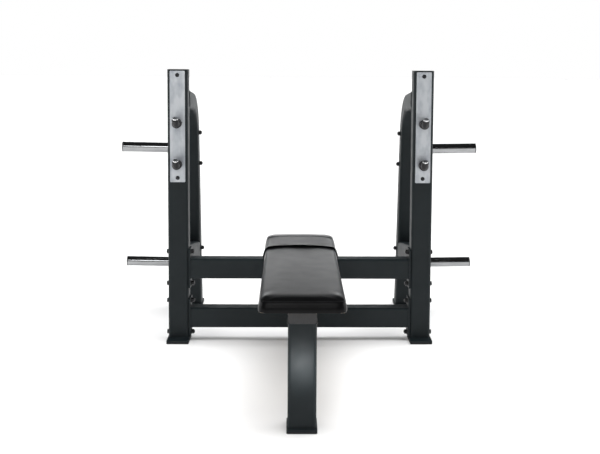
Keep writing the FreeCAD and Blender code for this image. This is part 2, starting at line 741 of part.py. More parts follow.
def tilt_outward(obj, sign, which):
    """Stand an object's Z outward on the horn plate, tipped up by the horn's tilt."""
    obj.Placement = FreeCAD.Placement(Vector(), FreeCAD.Rotation(Vector(0, sign, 0), 80))
    bind(obj, "Placement.Rotation.Angle", "90 - horn_tilt")
    bind(obj, "Placement.Base.x", face_x(sign, "horn_plate_thick"))
    bind(obj, "Placement.Base.z", up_leg(which + "_horn_level"))
    return obj


def make_horn(side, sign, which):
    """Steel pipe with a stop collar at its root, cut to sit flat on the horn plate."""
    name = "%s_%s_plate_horn" % (side, which)
    spare = "horn_collar_across * tan(horn_tilt)"
    tube_outside = rod(name + "_tube", "horn_across", "horn_long + %s" % spare, ("0", "0", "-%s" % spare))
    collar = rod(name + "_collar", "horn_collar_across", "horn_collar_long + %s" % spare,
                 ("0", "0", "-%s" % spare))
    outside = boolean("Fuse", name + "_outside", tube_outside, collar)
    inside = rod(name + "_inside", "horn_across - 2 * horn_wall", "horn_long + 3 * %s" % spare,
                 ("0", "0", "-2 * %s" % spare))
    pipe = tilt_outward(boolean("Cut", name + "_pipe", outside, inside), sign, which)
    plane = block(name + "_seat", ("2 * tube_wall", "2 * horn_collar_across", "2 * horn_collar_across"),
                  ("%s - tube_wall" % face_x(sign, "horn_plate_thick - tube_wall"), "-horn_collar_across",
                   "%s - horn_collar_across" % up_leg(which + "_horn_level")))
    node(on_rear_leg(boolean("Cut", name, pipe, plane)), name)


def make_horn_fittings():
    """End caps in the horns, and the bolts, washers and nuts that hold the horn plates to the legs."""
    caps = []
    bolts = []
    washers = []
    nuts = []
    long = "horn_plate_thick + tube_wide + 2 * frame_washer_thick + frame_bolt_nut + thread_end"
    for side, sign in SIDES:
        inward = "-x" if sign > 0 else "x"
        for which in ("upper", "lower"):
            name = "%s_%s_horn" % (side, which)
            lid = rod(name + "_cap_lid", "horn_across", "horn_cap_thick", ("0", "0", "horn_long"))
            plug = rod(name + "_cap_plug", "horn_across - 2 * (horn_wall + fit_gap)", "cap_plug",
                       ("0", "0", "horn_long - cap_plug"))
            caps.append(tilt_outward(boolean("Fuse", name + "_cap", lid, plug), sign, which))
            for end, step in (("top", "+"), ("bottom", "-")):
                part = "%s_%s" % (name, end)
                level = "%s %s horn_bolt_reach" % (up_leg(which + "_horn_level"), step)
                head_x = face_x(sign, "horn_plate_thick + frame_washer_thick")
                bolts.append(hex_bolt(part + "_bolt", "frame_bolt", long, "frame_bolt_flats", "frame_bolt_head",
                                      (head_x, "0", level), inward))
                for where, x in (("outer", head_x), ("inner", inner_x(sign))):
                    washers.append(ring("%s_%s_washer" % (part, where), "frame_washer_across", "frame_bolt",
                                        "frame_washer_thick", (x, "0", level), inward))
                nuts.append(hex_nut(part + "_nut", "frame_bolt", "frame_bolt_flats", "frame_bolt_nut",
                                    (inner_x(sign, "frame_washer_thick"), "0", level), inward))
    node(on_rear_leg(group("horn_caps_group", caps)), "horn_end_caps")
    node(on_rear_leg(group("horn_bolts_group", bolts)), "horn_bolts")
    node(on_rear_leg(group("horn_washers_group", washers)), "horn_bolt_washers")
    node(on_rear_leg(group("horn_nuts_group", nuts)), "horn_bolt_nuts")


# ---------------------------------------------------------------- front leg and spine

def make_front_leg():
    leg = tube("front_leg_tube", "spine_wide", "front_leg_deep", "tube_wall", "tube_corner",
               "%s - %s" % (SPINE_BOTTOM, FOOT_LEVEL),
               ("0", "spine_front + front_leg_deep / 2", FOOT_LEVEL))
    node(leg, "front_leg")
    middle = "spine_front - front_foot_toe + front_foot_deep / 2"
    node(plate("front_foot_plate_body", "front_foot_wide", "front_foot_deep", "foot_plate_thick", "foot_corner",
               ("0", middle, "foot_pad_thick")), "front_foot_plate")
    node(plate("front_foot_pad_body", "front_foot_wide", "front_foot_deep", "foot_pad_thick", "foot_corner",
               ("0", middle, "0")), "front_foot_pad")


def make_spine():
    """Beam under the pad, from the front leg to the saddle plate on the upper crossbar."""
    level = "%s + spine_tall / 2" % SPINE_BOTTOM
    node(tube("spine_tube", "spine_wide", "spine_tall", "tube_wall", "tube_corner", "spine_back - spine_front",
              ("0", "spine_front", level), "y"), "spine_beam")
    caps = [tube_cap("spine_%s_cap" % end, "spine_wide", "spine_tall", "tube_wall", "tube_corner",
                     ("0", "spine_" + end, level), turn) for end, turn in (("front", "-y"), ("back", "y"))]
    node(group("spine_caps_group", caps), "spine_end_caps")


def saddle_bolt_spots():
    inset = "(crossbar_deep / 2 - saddle_bolt_inset)"
    return [("%d * saddle_bolt_reach" % across, "%s + %d * %s" % (UPRIGHT_MIDDLE, along, inset))
            for across in (-1, 1) for along in (-1, 1)]


def make_saddle():
    """Plate welded under the spine and bolted down through the upper crossbar."""
    body = plate("saddle_body", "saddle_wide", "crossbar_deep", "saddle_thick", "foot_corner",
                 ("0", UPRIGHT_MIDDLE, CROSSBAR_TOP))
    holes = []
    bolts = []
    nuts = []
    long = "saddle_thick + crossbar_tall + saddle_bolt_nut + thread_end"
    under = "upper_crossbar_level - crossbar_tall / 2"
    for count, (x, y) in enumerate(saddle_bolt_spots()):
        holes.append(rod("saddle_hole_%d" % count, "saddle_bolt + 2 * hole_gap", "saddle_thick + 2",
                         (x, y, "%s - 1" % CROSSBAR_TOP)))
        bolts.append(hex_bolt("saddle_bolt_%d" % count, "saddle_bolt", long, "saddle_bolt_flats",
                              "saddle_bolt_head", (x, y, "%s + saddle_thick" % CROSSBAR_TOP), "-z"))
        nuts.append(hex_nut("saddle_nut_%d" % count, "saddle_bolt", "saddle_bolt_flats", "saddle_bolt_nut",
                            (x, y, under), "-z"))
    node(drilled("saddle_drilled", body, holes), "saddle_plate")
    node(group("saddle_bolts_group", bolts), "saddle_bolts")
    node(group("saddle_nuts_group", nuts), "saddle_nuts")


# ---------------------------------------------------------------- pad

def pad_bolt_spots():
    return [("%d * bracket_bolt_reach" % across, y) for y in BRACKETS for across in (-1, 1)]


def make_pad_brackets():
    brackets = []
    for count, y in enumerate(BRACKETS):
        name = "pad_bracket_%d" % count
        body = plate(name + "_plate", "bracket_wide", "bracket_deep", "bracket_thick", "foot_corner",
                     ("0", y, SPINE_TOP))
        holes = [rod("%s_hole_%s" % (name, side), "pad_bolt + 2 * hole_gap", "bracket_thick + 2",
                     ("%d * bracket_bolt_reach" % sign, y, "%s - 1" % SPINE_TOP)) for side, sign in SIDES]
        brackets.append(drilled(name, body, holes))
    node(group("pad_brackets_group", brackets), "pad_brackets")


def make_pad_board():
    body = plate("pad_board_body", "pad_wide - 2 * board_margin", "pad_long - 2 * board_margin", "board_thick",
                 "pad_corner - board_margin", ("0", PAD_MIDDLE, PAD_BOTTOM))
    holes = []
    for count, (x, y) in enumerate(pad_bolt_spots()):
        holes.append(rod("board_hole_%d" % count, "tee_nut_across", "board_thick + 2",
                         (x, y, "%s - 1" % PAD_BOTTOM)))
        holes.append(rod("board_recess_%d" % count, "tee_nut_flange", "tee_nut_flange_thick + 1",
                         (x, y, "%s + board_thick - tee_nut_flange_thick" % PAD_BOTTOM)))
    fused = doc.addObject("Part::MultiFuse", "board_drills")
    fused.Shapes = holes
    node(boolean("Cut", "pad_board_drilled", body, fused), "pad_board")


def make_pad_fasteners():
    """Bolts up through the brackets into tee nuts let into the board."""
    bolts = []
    nuts = []
    barrel = "board_thick - thread_end"
    for count, (x, y) in enumerate(pad_bolt_spots()):
        bolts.append(hex_bolt("pad_bolt_%d" % count, "pad_bolt",
                              "bracket_thick + board_thick - tee_nut_flange_thick",
                              "pad_bolt_flats", "pad_bolt_head", (x, y, SPINE_TOP), "z"))
        name = "tee_nut_%d" % count
        shell = rod(name + "_barrel", "tee_nut_across", barrel)
        rim = rod(name + "_rim", "tee_nut_flange", "tee_nut_flange_thick",
                  ("0", "0", "%s - tee_nut_flange_thick" % barrel))
        blank = boolean("Fuse", name + "_blank", shell, rim)
        tapped = boolean("Cut", name, blank, rod(name + "_thread", "pad_bolt", barrel))
        nuts.append(place(tapped, (x, y, "%s + thread_end" % PAD_BOTTOM)))
    node(group("pad_bolts_group", bolts), "pad_bolts")
    node(group("tee_nuts_group", nuts), "pad_tee_nuts")


def make_pad_cushion():
    """Upholstered foam, hollowed underneath for the board."""
    body = doc.addObject("PartDesign::Body", "pad_cushion_body")
    outline = sketch_on(body, "XY_Plane", "cushion_outline")
    rounded_rectangle(outline, "pad_wide", "pad_long", "pad_corner")
    pad = body.newObject("PartDesign::Pad", "cushion_depth")
    pad.Profile = outline
    bind(pad, "Length", "pad_thick")
    hollow = sketch_on(body, "XY_Plane", "board_hollow")
    margin = "2 * (board_margin - fit_gap)"
    rounded_rectangle(hollow, "pad_wide - %s" % margin, "pad_long - %s" % margin, "pad_corner - board_margin")
    pocket = body.newObject("PartDesign::Pocket", "board_pocket")
    pocket.Profile = hollow
    pocket.Reversed = True
    bind(pocket, "Length", "board_thick")
    node(place(body, ("0", PAD_MIDDLE, PAD_BOTTOM)), "pad_cushion")


def grown_pad(name, growth):
    """The cushion's block grown by the same amount on every side."""
    return plate(name, "pad_wide + 2 * %s" % growth, "pad_long + 2 * %s" % growth, "pad_thick + 2 * %s" % growth,
                 "pad_corner + %s" % growth, ("0", PAD_MIDDLE, "%s - %s" % (PAD_BOTTOM, growth)))


def make_head_cover():
    """Wipe-clean sleeve that slips over the pad's head end, open in front, with a hem under the pad."""
    skin = "(cover_gap + cover_thick)"
    shell = boolean("Cut", "cover_shell", grown_pad("cover_outside", skin), grown_pad("cover_inside", "cover_gap"))
    back = "(%s + %s)" % (PAD_BACK, skin)
    keep = block("cover_keep", ("pad_wide + 4 * %s" % skin, "cover_long", "pad_thick + 4 * %s" % skin),
                 ("-pad_wide / 2 - 2 * %s" % skin, "%s - cover_long" % back, "%s - 2 * %s" % (PAD_BOTTOM, skin)))
    sleeve = boolean("Common", "cover_sleeve", shell, keep)
    half = "(pad_wide / 2 + %s - cover_lip)" % skin
    opening = block("cover_opening", ("2 * %s" % half, "cover_long", "2 * %s" % skin),
                    ("-%s" % half, "%s - cover_long - cover_lip" % back, "%s - 2 * %s" % (PAD_BOTTOM, skin)))
    node(boolean("Cut", "cover_open", sleeve, opening), "head_cover")


# ---------------------------------------------------------------- build, check and export

for side, sign in SIDES:
    make_upright(side, sign)
    make_top_cap(side, sign)
    make_rear_arch(side, sign)
    make_side_brace(side, sign)
    make_side_feet(side, sign)
    make_guard_plate(side, sign)
    for which in ("upper", "lower"):
        make_bar_catch(side, sign, which)
        make_horn_plate(side, sign, which)
        make_horn(side, sign, which)
for bar in ("upper", "lower"):
    make_crossbar(bar)
make_crossbar_flanges()
make_crossbar_fasteners()
make_guard_screws()
make_catch_fittings()
make_horn_fittings()
make_front_leg()
make_spine()
make_saddle()
make_pad_brackets()
make_pad_board()
make_pad_fasteners()
make_pad_cushion()
make_head_cover()

doc.recompute()
for obj in doc.Objects:
    if "Invalid" in obj.State or "Error" in obj.State:
        raise RuntimeError("%s did not build: %s" % (obj.Name, obj.State))
for obj in NODES:
    if obj.Shape.isNull() or not obj.Shape.isValid() or not obj.Shape.Solids:
        raise RuntimeError("%s has no sound solid" % obj.Label)
    obj.Shape.exportStep("parts/%s.step" % obj.Label)
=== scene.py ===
"""Olympic bench press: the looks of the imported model. Metres, in the CAD model's own frame."""
import json
import math

import bmesh
import bpy
from mathutils import Matrix, Vector, noise
from mathutils.bvhtree import BVHTree


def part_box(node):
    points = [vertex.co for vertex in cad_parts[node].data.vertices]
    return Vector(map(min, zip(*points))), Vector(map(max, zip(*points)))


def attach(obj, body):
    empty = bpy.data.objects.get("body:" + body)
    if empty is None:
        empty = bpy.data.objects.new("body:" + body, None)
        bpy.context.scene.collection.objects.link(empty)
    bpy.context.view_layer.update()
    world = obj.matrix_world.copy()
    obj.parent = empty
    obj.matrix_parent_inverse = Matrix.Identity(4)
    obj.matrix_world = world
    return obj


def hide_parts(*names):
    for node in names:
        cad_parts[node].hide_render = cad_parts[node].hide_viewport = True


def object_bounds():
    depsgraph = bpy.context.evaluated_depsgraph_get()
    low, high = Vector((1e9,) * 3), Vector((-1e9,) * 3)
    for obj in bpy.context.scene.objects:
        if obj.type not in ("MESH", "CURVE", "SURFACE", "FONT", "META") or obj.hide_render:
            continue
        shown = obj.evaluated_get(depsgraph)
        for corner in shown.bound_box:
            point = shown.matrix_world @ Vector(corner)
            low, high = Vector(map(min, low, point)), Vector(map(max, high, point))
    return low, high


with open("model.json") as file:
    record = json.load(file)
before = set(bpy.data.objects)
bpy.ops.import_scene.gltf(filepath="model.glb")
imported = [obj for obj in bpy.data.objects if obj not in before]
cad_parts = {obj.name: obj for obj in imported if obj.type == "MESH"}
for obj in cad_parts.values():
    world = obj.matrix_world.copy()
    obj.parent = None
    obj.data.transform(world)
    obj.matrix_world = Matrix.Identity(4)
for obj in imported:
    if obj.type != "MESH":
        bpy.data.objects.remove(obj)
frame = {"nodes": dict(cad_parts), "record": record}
CAD_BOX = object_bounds()
NODES = frame["nodes"]

# ---------------------------------------------------------------- driving sizes

TUBE_CORNER = 0.012
CROSSBAR_CORNER = 0.010
BRACKET_DEEP = 0.050
LEG_LEAN = math.radians(9.5)
ARM_SLOPE = math.radians(6)
BRACE_SLOPE = math.radians(9)
WELD = 0.0028

PAD_VOXEL = 0.007
PAD_START = 0.002
PAD_CORNER = 0.033
PAD_TAPER = 0.02
PAD_CAP = 0.0045
PAD_EDGE = 0.010
SEAM_DROP = 0.013
SEAM_HALF = 0.0016
SEAM_DEEP = 0.0013
STITCH_PITCH = 0.0065

CATCH_RADIUS = 0.012
CATCH_STRAIGHT = 0.046
CATCH_BEND = 0.024
CATCH_TURN = math.radians(62)
DRUM_RADIUS = 0.020
DRUM_LONG = 0.042
BOOT_RADIUS = 0.0155
BOOT_BORE = 0.0123
BOOT_TIP = 0.010

COVER_SKIN = 0.0014
COVER_GAP = 0.0008
COVER_LIP = 0.026
COVER_SEAM = 0.096
HEM_WIDE = 0.011

PAD_LOW, PAD_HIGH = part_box("pad_cushion")
COVER_LOW, COVER_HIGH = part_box("head_cover")


# ---------------------------------------------------------------- material builder

class Finish:
    """A Principled material and the procedural nodes that give it grain."""

    def __init__(self, name, colour, roughness, **sockets):
        self.material = bpy.data.materials.new(name)
        self.material.use_nodes = True
        self.tree = self.material.node_tree
        self.shader = self.tree.nodes["Principled BSDF"]
        self.shader.inputs["Base Color"].default_value = (*colour, 1)
        self.shader.inputs["Roughness"].default_value = roughness
        for socket, amount in sockets.items():
            self.shader.inputs[socket.replace("_", " ")].default_value = amount
        self.place = self.add("ShaderNodeTexCoord").outputs["Object"]
        self.relief = None

    def add(self, kind, inputs=None, **properties):
        made = self.tree.nodes.new(kind)
        for name, amount in properties.items():
            setattr(made, name, amount)
        for name, source in (inputs or {}).items():
            if isinstance(source, bpy.types.NodeSocket):
                self.tree.links.new(source, made.inputs[name])
            else:
                made.inputs[name].default_value = source
        return made

    def stretched(self, stretch):
        return self.add("ShaderNodeMapping", {"Vector": self.place, "Scale": stretch}).outputs["Vector"]

    def noise(self, scale, detail=3.0, stretch=(1, 1, 1)):
        return self.add("ShaderNodeTexNoise", {"Vector": self.stretched(stretch), "Scale": scale,
                                               "Detail": detail}).outputs["Fac"]

    def cells(self, scale, feature="DISTANCE_TO_EDGE", stretch=(1, 1, 1)):
        return self.add("ShaderNodeTexVoronoi", {"Vector": self.stretched(stretch), "Scale": scale},
                        feature=feature).outputs["Distance"]

    def spread(self, source, low, high, start=0.3, end=0.7):
        return self.add("ShaderNodeMapRange", {"Value": source, "From Min": start, "From Max": end,
                                               "To Min": low, "To Max": high}).outputs["Result"]

    def vary_roughness(self, source, low, high):
        self.tree.links.new(self.spread(source, low, high), self.shader.inputs["Roughness"])

    def vary_colour(self, source, dark, light, start=0.3, end=0.7):
        mix = self.add("ShaderNodeMix", {"Factor": self.spread(source, 0, 1, start, end)}, data_type="RGBA")
        for socket in (item for item in mix.inputs if item.type == "RGBA"):
            socket.default_value = (*(dark if socket.name == "A" else light), 1)
        colour = next(item for item in mix.outputs if item.type == "RGBA")
        self.tree.links.new(colour, self.shader.inputs["Base Color"])

    def soften_edges(self, radius):
        """Round the look of sharp edges, as paint, plating and moulding do."""
        self.relief = self.add("ShaderNodeBevel", {"Radius": radius}, samples=4).outputs["Normal"]
        self.tree.links.new(self.relief, self.shader.inputs["Normal"])

    def bump(self, height, distance, strength=1.0):
        inputs = {"Height": height, "Distance": distance, "Strength": strength}
        if self.relief:
            inputs["Normal"] = self.relief
        self.relief = self.add("ShaderNodeBump", inputs).outputs["Normal"]
        self.tree.links.new(self.relief, self.shader.inputs["Normal"])


# ---------------------------------------------------------------- finishes, one per material slot

def powder_coat():
    """Charcoal powder coat: fine orange peel, with a cloudy change of sheen."""
    coat = Finish("frame_paint", (0.0080, 0.0122, 0.0138), 0.55, Specular_IOR_Level=0.22)
    coat.vary_colour(coat.noise(7, 4), (0.0070, 0.0106, 0.0122), (0.0090, 0.0134, 0.0152))
    coat.vary_roughness(coat.noise(22, 5), 0.50, 0.60)
    coat.soften_edges(0.0009)
    coat.bump(coat.noise(1100, 2), 0.00006, 0.6)
    coat.bump(coat.cells(520, "SMOOTH_F1"), 0.00005, 0.5)
    return coat.material


def brushed_steel():
    """Bright sheet with fine upright brush lines and faint clouding."""
    steel = Finish("guard_steel", (0.41, 0.43, 0.45), 0.42, Metallic=0.85)
    clouds = steel.noise(34, 5, (1, 1, 0.45))
    steel.vary_colour(clouds, (0.33, 0.35, 0.38), (0.48, 0.50, 0.52), 0.34, 0.62)
    steel.vary_roughness(steel.noise(420, 3, (1, 1, 0.04)), 0.34, 0.5)
    steel.soften_edges(0.0006)
    steel.bump(steel.noise(1500, 2, (1, 1, 0.02)), 0.00004, 0.5)
    return steel.material


def chrome():
    """Plating over drawn pipe, with slight waves along it and light sliding marks."""
    plating = Finish("horn_chrome", (0.31, 0.315, 0.32), 0.16, Metallic=1.0)
    plating.vary_colour(plating.noise(60, 4, (0.15, 1, 1)), (0.26, 0.265, 0.27), (0.36, 0.365, 0.37))
    plating.vary_roughness(plating.noise(300, 4, (0.06, 1, 1)), 0.11, 0.24)
    plating.soften_edges(0.0005)
    plating.bump(plating.noise(45, 2, (0.3, 1, 1)), 0.0002, 0.3)
    return plating.material


def bright_bar():
    """Plated round bar of the catches, polished where the barbell rolls over it."""
    bar = Finish("catch_steel", (0.66, 0.67, 0.68), 0.2, Metallic=1.0)
    bar.vary_colour(bar.noise(90, 5), (0.52, 0.53, 0.54), (0.74, 0.75, 0.76))
    bar.vary_roughness(bar.noise(500, 3), 0.15, 0.34)
    bar.bump(bar.noise(800, 3), 0.00005, 0.4)
    return bar.material


def moulded_rubber(name, colour, roughness):
    """Matte rubber with a pebbled mould surface."""
    rubber = Finish(name, colour, roughness, Specular_IOR_Level=0.35)
    dark = tuple(part * 0.75 for part in colour)
    light = tuple(part * 1.35 for part in colour)
    rubber.vary_colour(rubber.noise(40, 5), dark, light)
    rubber.vary_roughness(rubber.noise(90, 4), roughness - 0.08, roughness + 0.08)
    rubber.soften_edges(0.0008)
    rubber.bump(rubber.cells(900), 0.00012, 0.5)
    rubber.bump(rubber.noise(400, 3), 0.0001, 0.35)
    return rubber.material


def black_oxide():
    """Blackened steel, rubbed a little brighter in patches."""
    oxide = Finish("black_fasteners", (0.02, 0.021, 0.022), 0.38, Metallic=0.6)
    oxide.vary_colour(oxide.noise(160, 5), (0.012, 0.0125, 0.0135), (0.040, 0.041, 0.043), 0.4, 0.75)
    oxide.vary_roughness(oxide.noise(260, 4), 0.28, 0.5)
    oxide.soften_edges(0.0005)
    oxide.bump(oxide.noise(1200, 2), 0.00004, 0.5)
    return oxide.material


def moulded_plastic():
    """Black plastic of the caps, with a fine mould texture."""
    plastic = Finish("black_plastic", (0.014, 0.014, 0.015), 0.5)
    plastic.vary_colour(plastic.noise(30, 4), (0.011, 0.011, 0.012), (0.018, 0.018, 0.0195))
    plastic.vary_roughness(plastic.noise(140, 4), 0.42, 0.58)
    plastic.soften_edges(0.0012)
    plastic.bump(plastic.cells(1300), 0.00006, 0.55)
    return plastic.material


def vinyl(name, dark, light, roughness):
    """Grained upholstery vinyl: small pebbles over a finer pore, with soft patches of wear."""
    skin = Finish(name, light, roughness, Specular_IOR_Level=0.105)
    skin.vary_colour(skin.noise(9, 5), dark, light)
    skin.vary_roughness(skin.noise(16, 2), roughness - 0.01, roughness + 0.03)
    skin.bump(skin.noise(26, 1), 0.0004, 0.15)
    skin.bump(skin.cells(640), 0.00022, 0.45)
    skin.bump(skin.noise(1700, 2), 0.00005, 0.4)
    return skin.material


def birch_ply():
    """Plywood: grain along the board and plies that show on its edges."""
    wood = Finish("plywood", (0.52, 0.37, 0.22), 0.62)
    grain = wood.noise(60, 6, (1, 0.05, 1))
    plies = wood.add("ShaderNodeTexWave", {"Vector": wood.stretched((0.02, 0.02, 1)), "Scale": 210.0,
                                           "Distortion": 0.6}, bands_direction="Z").outputs["Fac"]
    both = wood.add("ShaderNodeMath", {0: grain, 1: plies}, operation="MULTIPLY").outputs["Value"]
    wood.vary_colour(both, (0.33, 0.21, 0.11), (0.62, 0.46, 0.29), 0.05, 0.55)
    wood.bump(grain, 0.0003, 0.5)
    return wood.material


def zinc_plate():
    """Zinc plating with its spangle."""
    zinc = Finish("zinc", (0.60, 0.60, 0.57), 0.34, Metallic=1.0)
    zinc.vary_colour(zinc.cells(420, "F1"), (0.46, 0.47, 0.46), (0.68, 0.67, 0.62), 0.1, 0.9)
    zinc.vary_roughness(zinc.noise(200, 4), 0.26, 0.44)
    zinc.soften_edges(0.0004)
    zinc.bump(zinc.noise(900, 2), 0.00004, 0.4)
    return zinc.material


def sewing_thread():
    """Black twisted thread."""
    thread = Finish("sewing_thread", (0.018, 0.018, 0.019), 0.6)
    twist = thread.noise(2600, 2, (1, 0.35, 1))
    thread.vary_colour(twist, (0.010, 0.010, 0.011), (0.034, 0.034, 0.036))
    thread.bump(twist, 0.0001, 0.8)
    return thread.material


FINISHES = {
    "frame_paint": powder_coat(),
    "guard_steel": brushed_steel(),
    "horn_chrome": chrome(),
    "catch_steel": bright_bar(),
    "catch_rubber": moulded_rubber("catch_rubber", (0.012, 0.012, 0.013), 0.55),
    "black_fasteners": black_oxide(),
    "foot_rubber": moulded_rubber("foot_rubber", (0.009, 0.009, 0.009), 0.7),
    "black_plastic": moulded_plastic(),
    "pad_vinyl": vinyl("pad_vinyl", (0.0022, 0.0022, 0.0024), (0.0036, 0.0036, 0.0040), 0.29),
    "cover_vinyl": vinyl("cover_vinyl", (0.0030, 0.0030, 0.0033), (0.0050, 0.0050, 0.0055), 0.33),
    "plywood": birch_ply(),
    "zinc": zinc_plate(),
    "thread": sewing_thread(),
}


def dress_cad_nodes():
    """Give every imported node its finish, and shade its curved walls smoothly."""
    for part in frame["record"]["subparts"]:
        mesh = NODES[part["node"]].data
        mesh.materials.clear()
        mesh.materials.append(FINISHES[part["material_slot"]])
        mesh.shade_smooth()
        mesh.set_sharp_from_angle(angle=math.radians(28))


# ---------------------------------------------------------------- mesh helpers

def piece_from(shape, name, slot, body="bench", smooth=True):
    """Turn a bmesh into a finished piece that rides on a body."""
    mesh = bpy.data.meshes.new(name)
    shape.to_mesh(mesh)
    shape.free()
    obj = bpy.data.objects.new(name, mesh)
    bpy.context.scene.collection.objects.link(obj)
    mesh.materials.append(FINISHES[slot])
    if smooth:
        mesh.shade_smooth()
        mesh.set_sharp_from_angle(angle=math.radians(50))
    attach(obj, body)
    return obj


def rounded_outline(wide, deep, corner, steps=6):
    """Points round a rectangle with round corners, in a plane, centred on its origin."""
    points = []
    for quarter, (sx, sy) in enumerate(((1, -1), (1, 1), (-1, 1), (-1, -1))):
        for step in range(steps + 1):
            angle = math.radians(90 * quarter - 90 + 90 * step / steps)
            points.append((sx * (wide / 2 - corner) + corner * math.cos(angle),
                           sy * (deep / 2 - corner) + corner * math.sin(angle)))
    return points


def resampled(points, pitch, closed):
    """Points at an even pitch along a broken line."""
    line = points + points[:1] if closed else points
    lengths = [(b - a).length for a, b in zip(line, line[1:])]
    count = max(2, round(sum(lengths) / pitch))
    spots = []
    leg = 0
    passed = 0.0
    for step in range(count if closed else count + 1):
        target = sum(lengths) * step / count
        while leg < len(lengths) - 1 and passed + lengths[leg] < target:
            passed += lengths[leg]
            leg += 1
        share = (target - passed) / max(lengths[leg], 1e-9)
        spots.append(line[leg].lerp(line[leg + 1], min(1.0, share)))
    return spots


def sweep_ring(shape, centre, along, radius, sides):
    """One ring of vertices round a line."""
    side = along.cross(Vector((0, 0, 1)))
    if side.length < 0.2:
        side = along.cross(Vector((0, 1, 0)))
    side.normalize()
    up = side.cross(along).normalized()
    return [shape.verts.new(centre + (side * math.cos(turn) + up * math.sin(turn)) * radius)
            for turn in (2 * math.pi * step / sides for step in range(sides))]


def add_bead(shape, points, radius, closed, seed=0):
    """A weld bead: a rippled ridge along a line."""
    spots = resampled(points, 0.0016, closed)
    rings = []
    for index, spot in enumerate(spots):
        ahead = spots[(index + 1) % len(spots)] if closed or index + 1 < len(spots) else spot
        behind = spots[index - 1] if closed or index else spot
        wobble = noise.noise(spot * 60 + Vector((seed, 0, 0)))
        ripple = 0.16 * math.sin(index * 2.1) + 0.16 * wobble
        swell = 0.35 if not closed and index in (0, len(spots) - 1) else 1.0
        rings.append(sweep_ring(shape, spot, (ahead - behind).normalized(), radius * swell * (1 + ripple), 7))
    pairs = list(zip(rings, rings[1:]))
    if closed:
        pairs.append((rings[-1], rings[0]))
    for near, far in pairs:
        for step in range(7):
            following = (step + 1) % 7
            shape.faces.new((near[step], near[following], far[following], far[step]))
    if not closed:
        shape.faces.new(list(reversed(rings[0])))
        shape.faces.new(rings[-1])


# ---------------------------------------------------------------- welds

def leg_face_weld(x, wide):
    """Outline where the sloping brace meets the leaning leg's front face."""
    low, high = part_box("left_upright")
    back = high.y
    tall = high.y - low.y
    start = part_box("left_side_brace")[1].z - tall / 2 / math.cos(BRACE_SLOPE)
    foot_low, foot_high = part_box("left_rear_arch")
    face_at_floor = foot_high.y - tall / math.cos(LEG_LEAN)
    points = []
    slope = math.tan(BRACE_SLOPE)
    lean = math.tan(LEG_LEAN)
    reach = face_at_floor - back + foot_low.z * lean
    for across, along in rounded_outline(wide, tall, TUBE_CORNER):
        level = start + along / math.cos(BRACE_SLOPE)
        y = (reach - level * lean) / (1 - slope * lean)
        points.append(Vector((x + across, back + y, level - y * slope)))
    return points


def side_frame_welds(shape, side):
    """Beads round the feet, the arch's and brace's front ends, and the brace's back end."""
    low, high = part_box(side + "_upright")
    middle = (low + high) / 2
    wide = high.x - low.x
    deep = high.y - low.y
    floor = low.z
    add_bead(shape, [Vector((middle.x + x, middle.y + y, floor)) for x, y in
                     rounded_outline(wide, deep, TUBE_CORNER)], WELD, True, 1)
    leg_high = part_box(side + "_rear_arch")[1]
    leg_deep = deep / math.cos(LEG_LEAN)
    add_bead(shape, [Vector((middle.x + x, leg_high.y - leg_deep / 2 + y, floor)) for x, y in
                     rounded_outline(wide, leg_deep, TUBE_CORNER)], WELD, True, 2)
    arm_tall = deep / math.cos(ARM_SLOPE)
    arm_top = leg_high.z
    add_bead(shape, [Vector((middle.x + x, high.y, arm_top - arm_tall / 2 + z)) for x, z in
                     rounded_outline(wide, arm_tall, TUBE_CORNER)], WELD, True, 3)
    brace_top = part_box(side + "_side_brace")[1].z
    brace_tall = deep / math.cos(BRACE_SLOPE)
    add_bead(shape, [Vector((middle.x + x, high.y, brace_top - brace_tall / 2 + z)) for x, z in
                     rounded_outline(wide, brace_tall, TUBE_CORNER)], WELD, True, 4)
    add_bead(shape, leg_face_weld(middle.x, wide), WELD, True, 5)


def crossbar_welds(shape):
    """Beads where the crossbars meet their end flanges."""
    for bar in ("upper", "lower"):
        low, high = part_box(bar + "_crossbar")
        middle = (low + high) / 2
        for x in (low.x, high.x):
            add_bead(shape, [Vector((x, middle.y + y, middle.z + z)) for y, z in
                             rounded_outline(high.y - low.y, high.z - low.z, CROSSBAR_CORNER)], WELD, True, 6)


def bench_welds(shape):
    """Beads round the front leg's two ends, along the saddle and across the pad brackets."""
    low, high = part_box("front_leg")
    middle = (low + high) / 2
    for level in (low.z, high.z):
        add_bead(shape, [Vector((x, middle.y + y, level)) for x, y in
                         rounded_outline(high.x - low.x, high.y - low.y, TUBE_CORNER)], WELD, True, 7)
    saddle_low, saddle_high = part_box("saddle_plate")
    spine_low, spine_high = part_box("spine_beam")
    for x in (spine_low.x + 0.010, spine_high.x - 0.010):
        add_bead(shape, [Vector((x, saddle_low.y + 0.004, saddle_high.z + 0.0012)),
                         Vector((x, saddle_high.y - 0.004, saddle_high.z + 0.0012))], WELD, False, 8)
    bracket_low, bracket_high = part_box("pad_brackets")
    pitch = (bracket_high.y - bracket_low.y - BRACKET_DEEP) / 2
    half = spine_high.x - TUBE_CORNER
    for count in range(3):
        for y in (bracket_low.y + count * pitch, bracket_low.y + count * pitch + BRACKET_DEEP):
            add_bead(shape, [Vector((-half, y, spine_high.z)), Vector((half, y, spine_high.z))],
                     WELD * 0.9, False, 9 + count)


def make_welds():
    """All the weld beads, as one painted piece."""
    shape = bmesh.new()
    for side in ("left", "right"):
        side_frame_welds(shape, side)
    crossbar_welds(shape)
    bench_welds(shape)
    bmesh.ops.recalc_face_normals(shape, faces=shape.faces)
    beads = piece_from(shape, "weld_beads", "frame_paint")


# ---------------------------------------------------------------- bar catch sleeves

